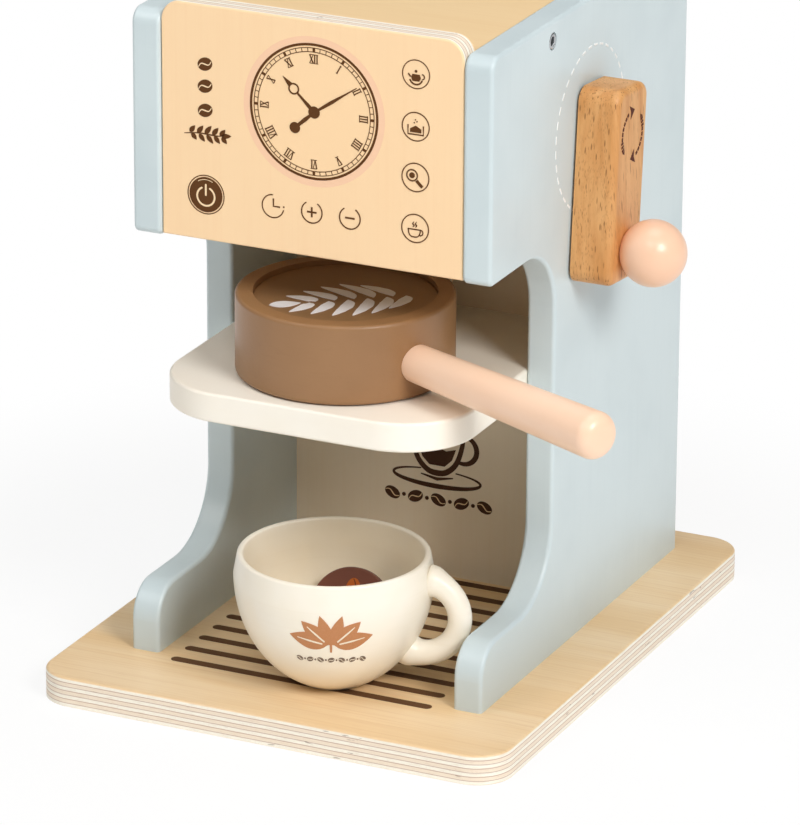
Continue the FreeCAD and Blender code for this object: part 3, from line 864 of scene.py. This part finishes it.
def clock_dial():
    halo = Print("dial_halo", on_front, "frame", "blush ink", 0.03)
    halo.ring(dial_u, dial_v, dial_rim + 1.6, 3.2)
    halo.made()
    tint = Print("dial_tint", on_front, "frame", "dial ink", 0.03)
    tint.disc(dial_u, dial_v, dial_rim - 0.3, steps=72)
    tint.made()
    face = Print("clock_dial", on_front, "frame", "brown ink")
    face.ring(dial_u, dial_v, dial_rim, 1.0, 96)
    face.ring(dial_u, dial_v, track_outer, fine_line, 96)
    face.ring(dial_u, dial_v, track_inner, fine_line, 96)
    dial_numerals(face)
    face.made()
    track = {"Radius": (track_outer + track_inner) / 2 * MM, "Length": 1.75 * MM, "Start": 0.0}
    for name, count, width, height in (("minute_ticks", 60, fine_line, 0.24), ("hour_ticks", 12, 1.05, 0.27)):
        values = {**track, "Count": count, "Step": radians(360 / count), "Material": finishes["brown ink"]}
        values.update({"Width": width * MM, "Height": height * MM})
        ticks.laid(name, "frame", values, facing_front(dial_u, dial_v))


def clock_hands():
    hands = Print("clock_hands", on_front, "frame", "brown ink", 0.16)
    hub = Vector((1.4, 243.7))

    def on_line(end):
        run = (Vector(end) - hub).normalized()
        side = Vector((-run.y, run.x))
        return lambda far, off=0.0: tuple(hub + run * far + side * off)

    hands.disc(*hub, 2.4)
    hour = on_line((-11.7, 256.3))
    hands.stroke([hour(1.6), hour(3.5), hour(6.5), hour(10.0)], [1.5, 1.5, 1.0, 0.8], False)
    hands.ring(*hour(11.9), 2.0, 0.6, 32)
    hands.area([hour(13.7, 1.1), hour(13.7, -1.1), hour(15.2, -0.8), hour(18.4, 0.0), hour(15.2, 0.8)])
    minute = on_line((19.1, 255.7))
    hands.stroke([minute(far) for far in (1.6, 5.0, 9.0, 14.0, 21.4)], [0.9, 1.2, 1.4, 0.8, 0.3])
    weight = on_line((-6.8, 236.5))
    hands.stroke([weight(1.4), weight(5.0), weight(9.0)], [1.0, 1.6, 1.3], False)
    hands.disc(*weight(10.8), 2.2)
    hands.made()


def power_button():
    u, v = -44.8, 204.1
    button = Print("power_button", on_front, "frame", "brown ink")
    button.ring(u, v, 7.75, 0.4, 56)
    button.disc(u, v, 7.05, steps=56)
    button.made()
    sign = Print("power_sign", on_front, "frame", "cream ink", OVER_INK)
    sign.stroke(arc_line(u, v - 0.7, 3.75, 118, 422, 40), 0.75)
    sign.stroke([(u, v - 0.1), (u, v + 4.0)], 0.75)
    sign.stroke(arc_line(u, v, 6.1, 62, 122, 16), 0.22)
    sign.made()


def small_buttons():
    """The timer, the plus and the minus under the dial."""
    marks = Print("small_buttons", on_front, "frame", "brown ink")
    line_width, sign_width = 0.48, 0.66
    u, v = -16.1, 203.7
    marks.stroke(arc_line(u, v, 4.6, 92, 345, 40), line_width)
    marks.stroke([(u + 0.2, v + 3.1), (u + 0.2, v), (u + 3.0, v)], 0.6, False)
    marks.disc(*arc_line(u, v, 4.6, 3, 3, 1)[0], 0.34, steps=14)
    for u in (0.4, 16.5):
        marks.stroke(arc_line(u, v, 4.35, 125, 415, 40), line_width)
        marks.stroke([(u - 2.0, v), (u + 2.0, v)], sign_width, False)
        if u == 0.4:
            marks.stroke([(u, v - 2.0), (u, v - 0.3)], sign_width, False)
            marks.stroke([(u, v + 0.3), (u, v + 2.0)], sign_width, False)
    marks.made()


def round_icons():
    """Four plain signs in circles: a pot, a tray of ground coffee, a portafilter and a cup."""
    u = 43.9
    icons = Print("round_icons", on_front, "frame", "brown ink")
    for v in (264.7, 244.1, 224.0, 203.7):
        icons.ring(u, v, 5.6, 0.42, 48)

    def line(*points):
        return [(u + a, v + b) for a, b in points]

    v = 263.6
    icons.area(line((-2.0, -0.2), (-1.5, 1.1), (1.5, 1.1), (2.0, -0.2), (1.4, -1.6), (-1.4, -1.6)))
    icons.stroke(arc_line(u, v - 0.2, 2.7, 205, 335, 14), 0.62)
    icons.stroke(arc_line(u + 2.5, v + 0.3, 1.0, -80, 80, 10), 0.45)
    icons.stroke(line((-2.3, 0.1), (-3.1, 1.0)), 0.58)
    icons.disc(u, v + 2.3, 0.55, steps=16)
    v = 243.0
    icons.stroke(line((-3.2, 1.6), (-3.2, -2.0), (3.2, -2.0), (3.2, 1.6)), 0.52, False)
    icons.area(line((-2.3, -1.2), (2.3, -1.2), (2.3, 0.2), (0, 1.5), (-2.3, 0.2)))
    for grain in line((-0.6, 2.6), (0.5, 3.1), (-0.1, 3.8)):
        icons.disc(*grain, 0.28, steps=10)
    v = 223.4
    icons.ring(u - 1.4, v + 1.3, 2.2, 0.52, 36)
    icons.disc(u - 1.4, v + 1.3, 1.15, steps=24)
    icons.stroke(line((0.4, -0.6), (2.9, -3.0)), 1.25, False)
    v = 202.6
    bowl = line((-2.9, 0.7), (-2.6, -1.0), (-1.6, -2.2), (0.8, -2.2), (1.9, -1.0), (2.2, 0.7))
    icons.stroke(smooth_line(bowl), 0.44)
    icons.stroke([bowl[0], bowl[-1]], 0.44)
    icons.stroke(arc_line(u + 2.1, v - 0.4, 1.15, -95, 80, 12), 0.42)
    for a in (-0.9, 0.2):
        steam = line((a, 1.6), (a + 0.45, 2.2), (a - 0.1, 2.9), (a + 0.4, 3.7))
        icons.stroke(smooth_line(steam), [0.25, 0.6, 0.2])
    icons.made()


def bean_column():
    """Three beans above a small sprig of coffee leaves."""
    beans = Print("printed_beans", on_front, "frame", "brown ink")
    slits = Print("printed_bean_slits", on_front, "frame", "cream ink", OVER_INK)
    for v in (256.5, 247.7, 238.0):
        coffee_bean(beans, slits, -44.9, v, 6.4, 5.2, 20.0)
    sprig(beans, -44.8, 228.4, 18.0, 1.05)
    beans.made()
    slits.made()


def leaf(drawing, u, v, length, width, turn):
    """One leaf with a pointed tip, from its stalk end, as a fine grid that can bend round the cup."""
    steps, row = 12, 5
    points, faces = [], []
    for step in range(steps + 1):
        t = step / steps
        half = max(width / 2 * max(0.0, sin(pi * t ** 0.8)) ** 0.9, 0.01)
        across = [half * (2 * n / (row - 1) - 1) for n in range(row)]
        points += [turned(u, v, length * t, out, radians(turn)) for out in across]
    for step in range(steps):
        for k in range(step * row, step * row + row - 1):
            faces.append([k, k + row, k + row + 1, k + 1])
    drawing.shape(points, faces)


def sprig(drawing, u, v, length, size):
    """A level twig with pairs of leaves."""
    half = length / 2
    bends = ((-1.0, -0.6), (-0.3, 0.2), (0.5, 0.0), (0.8, 0.3))
    twig = smooth_line([(u + half * across, v + size * up) for across, up in bends])
    drawing.stroke(twig, [0.25 * size, 0.5 * size, 0.3 * size])
    for step in range(5):
        root = u - half * 0.75 + step * half * 0.36
        long = (4.3 - abs(step - 2) * 0.45) * size
        leaf(drawing, root, v + 0.15 * size, long, 1.9 * size, 52)
        leaf(drawing, root + 0.7, v - 0.15 * size, long * 0.92, 1.8 * size, -48)
    leaf(drawing, u + half * 0.76, v + 0.25 * size, 4.0 * size, 1.8 * size, 6)


# Prints elsewhere


def base_stripes():
    tree = stripe_pattern()
    values = {
        "Count": 11, "Pitch": 12.1 * MM, "Length": 113.2 * MM, "Width": 4.3 * MM,
        "Height": (INK_HEIGHT + INK_SINK) * MM, "Material": finishes["stripe ink"],
    }
    tree.laid("drip_stripes", "frame", values, Matrix.Translation(on_base(-0.6, -88.8, -INK_SINK)))


def turning_circle():
    values = {
        "Count": 36, "Start": 0.0, "Step": radians(10), "Sweep": radians(5.6), "Radius": 32.9 * MM,
        "Width": 0.9 * MM, "Height": 0.22 * MM, "Material": finishes["white ink"],
    }
    dashes.laid("turning_circle", "frame", values, facing_side(axle_y + 0.6, axle_z))


def lever_arrows():
    """Two dashed arrows that chase each other round the axle, with broader dashes at the tail."""
    looks = {"Radius": 9.8 * MM, "Height": 0.2 * MM, "Material": finishes["arrow ink"]}
    runs = (("arrow_dashes", 6, 178.0, -12.2, 9.4, 1.25), ("arrow_tail", 3, 206.0, -8.6, 5.6, 2.1))
    for number, turn in enumerate((0.0, 180.0)):
        for name, count, start, step, sweep, width in runs:
            angles = {"Start": radians(turn + start), "Step": radians(step), "Sweep": radians(sweep)}
            values = {**looks, **angles, "Count": count, "Width": width * MM}
            dashes.laid("%s_%d" % (name, number + 1), "crank", values, facing_lever(0, 0))
    heads = Print("arrow_heads", on_lever, "crank", "arrow ink")
    head = ((9.9, 84.0), (12.6, 109.0), (9.7, 105.0), (6.8, 111.0))
    tail_end = ((9.8, 224.0), (10.9, 213.5), (8.7, 213.5))
    for turn in (0.0, 180.0):
        for corners in (head, tail_end):
            heads.area([turned(0, 0, radius, 0, radians(angle + turn)) for radius, angle in corners])
    heads.made()


def wall_print():
    """A plain outlined cup on a saucer, half full, above a row of beans and dots."""
    wall = Print("wall_cup", on_back_wall, "frame", "wall ink")
    u, v = -0.5, 54.6
    side = [(11.6, 22.0), (11.2, 15.0), (8.6, 7.0), (4.4, 2.6)]
    bowl = [(-a, b) for a, b in side] + [(0.0, 1.6)] + side[::-1]
    wall.stroke(smooth_line([(u + a, v + b) for a, b in bowl]), [1.7, 2.2, 2.6, 2.2, 1.7])
    for rise in (24.2, 20.0):
        wall.stroke(smooth_line([(u - 11.6, v + 22.0), (u, v + rise), (u + 11.6, v + 22.0)]), 1.3)
    wall.stroke(arc_line(u + 11.6, v + 13.4, 6.0, 82, -108, 24), [1.6, 2.2, 2.2, 1.5])
    surface = [(-8.4, 13.0), (-4.0, 14.4), (0.0, 13.0), (4.0, 11.6), (8.4, 13.0)]
    under = [(6.6, 8.0), (3.4, 4.9), (-3.4, 4.9), (-6.6, 8.0)]
    wall.area([(u + a, v + b) for a, b in surface + under])
    saucer = [(u + 19.4 * cos(radians(a)), v - 0.6 + 3.6 * sin(radians(a))) for a in range(112, 429, 6)]
    wall.stroke(saucer, [0.5, 1.2, 2.1, 1.2, 0.5])
    wall.stroke([(u - 7.0, v + 0.3), (u, v - 1.0), (u + 7.0, v + 0.3)], [0.5, 1.4, 0.5])
    slits = Print("wall_bean_slits", on_back_wall, "frame", "cream ink", 0.2)
    bean_row(wall, slits, (-20.4, 44.6), 5, 10.3, (7.0, 4.9), 0.85, 18)
    wall.made()
    slits.made()


def latte_leaf():
    """A poured leaf: a tip and two rows of bent petals with a dark line between them."""
    foam = Print("latte_leaf", on_disc, "portafilter", "foam ink", 0.14)
    u, v, heading = 3.0, -5.5, 38.0
    for side, first, spans in ((-1, -18.0, (9, 13, 16.5, 18, 17, 13)), (1, -15.4, (9, 13, 16.5, 18, 15))):
        for step, span in enumerate(spans):
            root = first + 7.7 * step
            bends = [(3.2, 0.9), (2.6, 0.30 * span), (-0.8, 0.62 * span), (-6.4, span)]
            petal = [turned(u, v, root + along, side * out, radians(heading)) for along, out in bends]
            foam.stroke(smooth_line(petal, 8), [0.9, 4.2, 5.1, 3.8, 0.3])
    leaf(foam, *turned(u, v, -30.5, 0, radians(heading)), 12.5, 6.8, heading)
    foam.made()


def cup_print():
    """A spray of leaves over a row of small beans and dots."""
    tan = Print("cup_leaves", on_cup, "cup", "leaf ink")
    veins = Print("cup_leaf_veins", on_cup, "cup", "vein ink", 0.24)
    foot = 28.6
    for side in (-1, 1):
        for root, turn, long, wide in ((1.4, 13, 16.0, 7.6), (1.0, 43, 14.6, 6.8), (0.5, 73, 13.4, 5.2)):
            angle = turn if side > 0 else 180 - turn
            leaf(tan, side * root, foot, long, wide, angle)
            if turn < 70:
                along = (2.4, 4.8, 7.2, 9.6, 0.78 * long)
                vein = [turned(side * root, foot, a, 0, radians(angle)) for a in along]
                veins.stroke(vein, [0.6, 0.7, 0.25])
    tan.stroke([(0, 25.4), (0, 27.4), (0, 29.4), (0, 31.4)], [0.8, 1.2, 0.6])
    tan.made()
    veins.made()
    dots = Print("cup_dots", on_cup, "cup", "grey ink")
    slits = Print("cup_bean_slits", on_cup, "cup", "vein ink", 0.24)
    bean_row(dots, slits, (-14.1, 21.2), 7, 4.7, (3.1, 2.2), 0.42, 12)
    dots.made()
    slits.made()


def coin_print():
    beans = Print("coin_beans", on_coin, "coin", "bean ink")
    slits = Print("coin_bean_slits", on_coin, "coin", "bean slit ink", 0.2)
    for u, v, turn in ((0.0, 8.2, 90.0), (-7.0, -3.6, 40.0), (7.0, -3.6, 140.0)):
        coffee_bean(beans, slits, u, v, 10.0, 6.4, turn)
    beans.made()
    slits.made()


# The cup


def rounded_profile(points, rounds, steps=7):
    """A line through corners, each rounded by its own radius."""
    line = [points[0]]
    for before, corner, after, radius in zip(points, points[1:], points[2:], rounds[1:]):
        a = (Vector(before) - Vector(corner)).normalized()
        b = (Vector(after) - Vector(corner)).normalized()
        if radius <= 0 or a.dot(b) < -0.9999:
            line.append(corner)
            continue
        half = a.angle(b) / 2
        centre = Vector(corner) + (a + b).normalized() * (radius / sin(half))
        start = Vector(corner) + a * (radius / (sin(half) / cos(half)))
        end = Vector(corner) + b * (radius / (sin(half) / cos(half)))
        first = (start - centre)
        last = (end - centre)
        for step in range(steps + 1):
            t = step / steps
            line.append(tuple(centre + first.slerp(last, t)))
    line.append(points[-1])
    return line


def add_rings(shell, rows, caps=False, soft_rows=None):
    """Joins closed rings of points, in millimetres, into one skin. A ring of one point is a pole."""
    rings = [[shell.verts.new(Vector(point) * MM) for point in row] for row in rows]
    for number, (low, high) in enumerate(zip(rings, rings[1:])):
        count = max(len(low), len(high))
        for side in range(count):
            after = (side + 1) % count
            if len(low) == 1:
                corners = [low[0], high[after], high[side]]
            elif len(high) == 1:
                corners = [low[side], low[after], high[0]]
            else:
                corners = [low[side], low[after], high[after], high[side]]
            shell.faces.new(corners).smooth = soft_rows is None or number in soft_rows
    if caps:
        shell.faces.new(rings[0]).smooth = soft_rows is None
        shell.faces.new(rings[-1][::-1]).smooth = soft_rows is None


def mesh_of(name, shell):
    made = bpy.data.meshes.new(name)
    shell.to_mesh(made)
    shell.free()
    return made


def equal_turns(count):
    return [2 * pi * step / count for step in range(count)]


def cup_bowl():
    """The bowl, turned from one outline of radius and height."""
    inner_radius, inner_curve = cup_radius - cup_wall, cup_curve - cup_wall
    foot, inner_foot = bowl_radius(0), bowl_radius(cup_floor, inner_radius, inner_curve)
    rises = [(n / 24) ** 1.35 for n in range(1, 25)]
    under = [(foot * n / 4, 0.0) for n in range(5)]
    outside = [(bowl_radius(cup_waist * rise), cup_waist * rise) for rise in rises]
    rim = [(cup_radius, cup_height), (inner_radius, cup_height)]
    heights = [cup_floor + (cup_waist - cup_floor) * rise for rise in reversed(rises)]
    inside = [(bowl_radius(height, inner_radius, inner_curve), height) for height in heights]
    inside += [(inner_foot * share, cup_floor) for share in (0.86, 0.5, 0.0)]
    rounds = [0] * 4 + [cup_foot_round] + [0] * len(outside) + [cup_rim_round] * 2 + [0] * len(inside)
    rows = []
    for radius, height in rounded_profile(under + outside + rim + inside, rounds):
        turns = equal_turns(128) if radius > 1e-6 else [0.0]
        rows.append([(*turned(cup_x, cup_y, radius, 0, turn), cup_foot_z + height) for turn in turns])
    shell = bmesh.new()
    add_rings(shell, rows)
    return mesh_of("turned_cup", shell)


def bowl_gap(out, height):
    """About how far a point beside the bowl stands out from its wall."""
    height = max(0.0, min(cup_height, height))
    radius = bowl_radius(height)
    slope = bowl_radius(min(height + 0.5, cup_height)) - bowl_radius(max(height - 0.5, 0.0))
    return (out - radius) / hypot(1.0, slope)


def cup_ear():
    """The ring handle, which swells a little where it meets the bowl."""
    steps, most_turn, deepest = 72, 152, -2.6
    rows = []
    for step in range(steps + 1):
        turn = radians(2 * most_turn * step / steps - most_turn)
        out, height = turned(ear_centre, ear_height, ear_radius, 0, turn)
        gap = bowl_gap(out, height)
        if gap < deepest:
            continue
        half = ear_thick / 2 * (1.0 + 0.34 * exp(-max(0.0, gap - 1.0) / 2.4))
        row = []
        for angle in equal_turns(28):
            reach, rise = turned(out, height, half * cos(angle), 0, turn)
            row.append((*turned(cup_x, cup_y, reach, half * sin(angle), cup_turn), cup_foot_z + rise))
        rows.append(row)
    shell = bmesh.new()
    add_rings(shell, rows, caps=True)
    return mesh_of("cup_ear", shell)


def cup():
    paint = cup_paint()
    finished("turned_cup", cup_bowl(), paint, "cup", ["cup_bowl"])
    finished("cup_ear", cup_ear(), paint, "cup", ["cup_handle"])


# Cap screws


def cap_screws():
    """Four steel screws with rounded heads and hexagon sockets, a hair smaller than their holes."""
    # Radius and depth under the side's face, first of the round rings and then of the socket's hexagons
    shank, edge = ((2.0, 33.9), (2.0, 3.1)), ((3.15, 3.1), (3.15, 0.50))
    round_rings = shank + edge + ((3.05, 0.24), (2.85, 0.08), (2.60, 0.02), (2.15, 0.02))
    socket_rings = ((1.80, 0.16), (1.72, 0.40), (1.72, 2.0))
    shell = bmesh.new()
    for side in (-1, 1):
        for y in cap_screw_ys:
            rows = []
            for number, (radius, depth) in enumerate(round_rings + socket_rings):
                row = []
                for turn in equal_turns(48):
                    flat = (turn + pi / 6) % (pi / 3) - pi / 6
                    reach = radius if number < len(round_rings) else radius / cos(flat)
                    row.append((side * (side_x - depth), *turned(y, cap_screw_z, reach, 0, turn)))
                rows.append(row)
            add_rings(shell, rows, caps=True, soft_rows=range(3, 7))
    steel_finish = parts["base_screws"].data.materials[0]
    finished("cap_screws", mesh_of("cap_screws", shell), steel_finish, "frame", ["side_cap_screws"])


# Floor, light and camera


def floor():
    """A pale floor that is white to the camera and keeps the soft shadow."""
    mesh = bpy.data.meshes.new("floor")
    corners = [(x * 6.0, y * 6.0, 0.0) for x, y in ((-1, -1), (1, -1), (1, 1), (-1, 1))]
    mesh.from_pydata(corners, [], [(0, 1, 2, 3)])
    sheet = bpy.data.objects.new("floor", mesh)
    bpy.context.scene.collection.objects.link(sheet)
    finish = Finish("pale floor")
    fleck = finish.noise(0.02, 3.0, 0.5)
    colour = finish.blend(fleck, tone("FDFDFC"), tone("FBFBFA"))
    finish.done(colour, 0.8, fleck, 0.01)
    camera_ray = finish.node("ShaderNodeLightPath", {}, {}, "Is Camera Ray")
    seen = camera_ray.maths("MAXIMUM", camera_ray.out("Is Glossy Ray"))
    seen = seen.maths("MAXIMUM", camera_ray.out("Is Transmission Ray"))
    glow = finish.node("ShaderNodeEmission", {}, {"Color": (1, 1, 1, 1), "Strength": 1.0})
    away = (finish.x * finish.x + finish.y * finish.y).maths("SQRT").between(180.0, 330.0, 0.84, 1.0)
    matt = Value(finish, finish.shader.outputs[0])
    mixed = finish.node("ShaderNodeMixShader", {}, [seen * away, matt, glow])
    output = [node for node in finish.nodes if node.type == "OUTPUT_MATERIAL"][0]
    finish.feed(output.inputs[0], mixed)
    mesh.materials.append(finish.material)


def sky():
    world = bpy.data.worlds.new("studio")
    bpy.context.scene.world = world
    world.use_nodes = True
    tree = Tree(world.node_tree)
    tree.nodes.clear()
    seen = tree.node("ShaderNodeLightPath", {}, {}, "Is Camera Ray")
    seen = seen.maths("MAXIMUM", seen.out("Is Transmission Ray"))
    room = tree.node("ShaderNodeBackground", {}, {"Color": (1.0, 0.99, 0.975, 1), "Strength": 0.22})
    white = tree.node("ShaderNodeBackground", {}, {"Color": (1, 1, 1, 1), "Strength": 1.0})
    mixed = tree.node("ShaderNodeMixShader", {}, [seen, room, white])
    output = tree.nodes.new("ShaderNodeOutputWorld")
    tree.feed(output.inputs[0], mixed)


def lamp(name, place, aim, size, power, colour=(1, 1, 1)):
    light = bpy.data.lights.new(name, "AREA")
    light.shape = "DISK"
    light.size = size
    light.energy = power
    light.color = colour
    holder = bpy.data.objects.new(name, light)
    holder.location = place
    holder.rotation_euler = (Vector(place) - Vector(aim)).to_track_quat("Z", "Y").to_euler()
    bpy.context.scene.collection.objects.link(holder)


def lamps():
    aim = (0.0, 0.0, 0.13)
    lamp("key_right", (1.45, -0.90, 1.33), aim, 0.75, 24.5, (1.0, 0.995, 0.985))
    lamp("window_left", (-1.0, -1.15, 1.7), aim, 1.1, 9.0, (1.0, 0.99, 0.97))
    lamp("front_fill", (0.3, -1.5, 2.0), aim, 0.9, 7.0)
    lamp("top_panel_light", (0.05, 0.1, 1.9), aim, 1.2, 8.0)


def camera():
    """Stands where the photograph was taken from."""
    yaw, pitch, roll = radians(25.1704), radians(20.5707), radians(0.2966)
    look = Vector((-sin(yaw) * cos(pitch), cos(yaw) * cos(pitch), -sin(pitch)))
    right = Vector((cos(yaw), sin(yaw), 0))
    up = right.cross(look)
    rolled_right = right * cos(roll) + up * sin(roll)
    rolled_up = up * cos(roll) - right * sin(roll)
    lens = bpy.data.cameras.new("camera")
    lens.lens = 267.65
    lens.sensor_width = 36.0
    lens.sensor_fit = "AUTO"
    lens.clip_start = 0.05
    holder = bpy.data.objects.new("camera", lens)
    turned = Matrix((rolled_right, rolled_up, -look)).transposed().to_4x4()
    holder.matrix_world = Matrix.Translation((0.97329, -2.07086, 0.95368)) @ turned
    bpy.context.scene.collection.objects.link(holder)
    bpy.context.scene.camera = holder


camera()
sky()
lamps()
floor()
dress_frame()
cup()
cap_screws()
clock_dial()
clock_hands()
power_button()
small_buttons()
round_icons()
bean_column()
base_stripes()
turning_circle()
lever_arrows()
wall_print()
latte_leaf()
cup_print()
coin_print()

bpy.context.scene.view_settings.view_transform = "Standard"


def corners(box):
    return [list(map(float, corner)) for corner in box]
